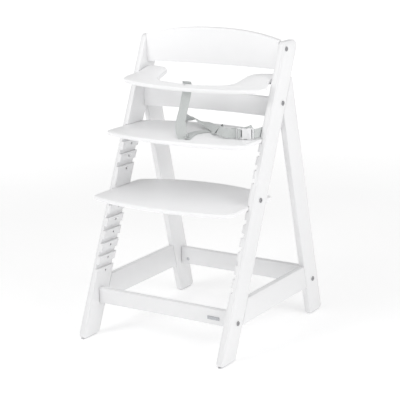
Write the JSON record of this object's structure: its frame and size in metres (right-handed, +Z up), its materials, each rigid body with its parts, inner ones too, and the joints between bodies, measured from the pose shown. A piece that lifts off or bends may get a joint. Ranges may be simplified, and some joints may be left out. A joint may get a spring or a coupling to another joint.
{
  "type": "baby high chair",
  "caption": "White wooden A-frame high chair with grooved front legs, sliding seat and foot plates, curved backrest, crescent table board and webbing harness.",
  "frame": {"origin": "middle of the footprint on the floor, between the four feet", "axes": "+Z up, front of the chair faces -Y, +X on the right of somebody who looks at the front"},
  "size_m": [0.455, 0.5356, 0.8035],
  "materials": {
    "white_lacquer": "white lacquer over solid beech and moulded plywood, satin",
    "beech": "bare beech dowel",
    "bolt_steel": "dark burnished steel",
    "zinc": "bright zinc plate",
    "label_metal": "brushed blank plate",
    "felt": "pale felt glide",
    "webbing": "grey woven polypropylene webbing",
    "buckle_plastic": "white moulded plastic, satin"
  },
  "bodies": {
    "frame": {"front_leg_left": "white_lacquer", "rear_leg_left": "white_lacquer", "side_bar_left": "white_lacquer", "mitre_dowel_lower_left": "beech", "mitre_dowel_upper_left": "beech", "bolt_back_upper_left": "bolt_steel", "bolt_back_lower_left": "bolt_steel", "bolt_foot_lock_left": "bolt_steel", "bolt_front_crossbar_left": "bolt_steel", "bolt_rear_crossbar_left": "bolt_steel", "barrel_nut_front_left": "zinc", "barrel_nut_rear_left": "zinc", "glide_front_left": "felt", "glide_rear_left": "felt", "table_bracket_left": "zinc", "bracket_screw_left": "zinc", "table_screw_left": "zinc", "front_leg_right": "white_lacquer", "rear_leg_right": "white_lacquer", "side_bar_right": "white_lacquer", "mitre_dowel_lower_right": "beech", "mitre_dowel_upper_right": "beech", "bolt_back_upper_right": "bolt_steel", "bolt_back_lower_right": "bolt_steel", "bolt_foot_lock_right": "bolt_steel", "bolt_front_crossbar_right": "bolt_steel", "bolt_rear_crossbar_right": "bolt_steel", "barrel_nut_front_right": "zinc", "barrel_nut_rear_right": "zinc", "glide_front_right": "felt", "glide_rear_right": "felt", "table_bracket_right": "zinc", "bracket_screw_right": "zinc", "table_screw_right": "zinc", "front_crossbar": "white_lacquer", "rear_crossbar": "white_lacquer", "backrest_upper": "white_lacquer", "backrest_lower": "white_lacquer", "table_board": "white_lacquer", "label_plate": "label_metal", "crotch_strap_upper": "webbing", "waist_belt_right": "webbing", "crotch_strap_screw": "zinc", "belt_screw_leg": "zinc"},
    "seat": {"seat_plate": "white_lacquer", "crotch_strap_lower": "webbing", "waist_belt_left": "webbing", "waist_belt_tail": "webbing", "belt_screw_seat": "zinc", "buckle_socket": "buckle_plastic"},
    "foot": {"foot_plate": "white_lacquer"},
    "plug": {"buckle_plug": "buckle_plastic"}
  },
  "joints": [
    {"name": "seat_slide", "type": "slide", "parent": "frame", "child": "seat", "axis": [0, 1, 0], "range_m": [-0.06, 0.02]},
    {"name": "foot_slide", "type": "slide", "parent": "frame", "child": "foot", "axis": [0, 1, 0], "range_m": [-0.08, 0.06]},
    {"name": "buckle_release", "type": "slide", "parent": "seat", "child": "plug", "axis": [-0.9428, -0.3335, 0], "range_m": [0, 0.014]}
  ]
}
